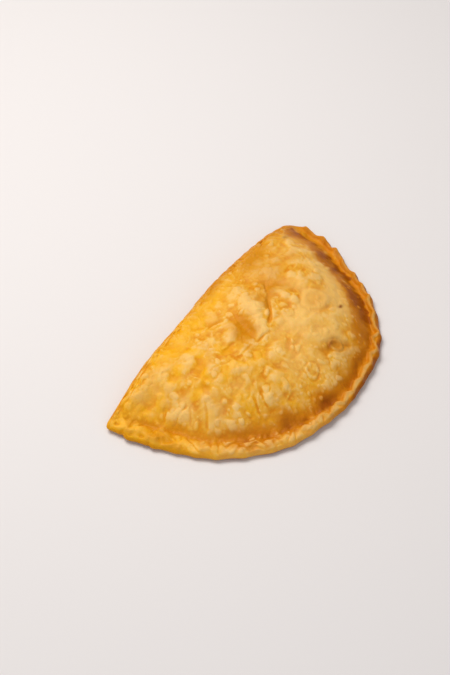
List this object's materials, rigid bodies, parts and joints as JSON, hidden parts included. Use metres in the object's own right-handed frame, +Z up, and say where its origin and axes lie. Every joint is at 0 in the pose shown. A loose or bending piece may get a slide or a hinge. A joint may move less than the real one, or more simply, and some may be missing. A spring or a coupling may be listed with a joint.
{
  "type": "cheburek",
  "caption": "Half-moon pastry of thin dough folded over a filling, with a crimped rim, a puffed blistered crown and a flat underside.",
  "frame": {"origin": "middle of the pastry's plan box, at the height of the surface that it lies on", "axes": "+X along the fold from the sharp tip to the blunt tip, -Y towards the crimped rim, +Z up"},
  "size_m": [0.2048, 0.1182, 0.0308],
  "materials": {
    "fried_dough": null
  },
  "bodies": {
    "root": {"cheburek": "fried_dough"}
  },
  "joints": []
}
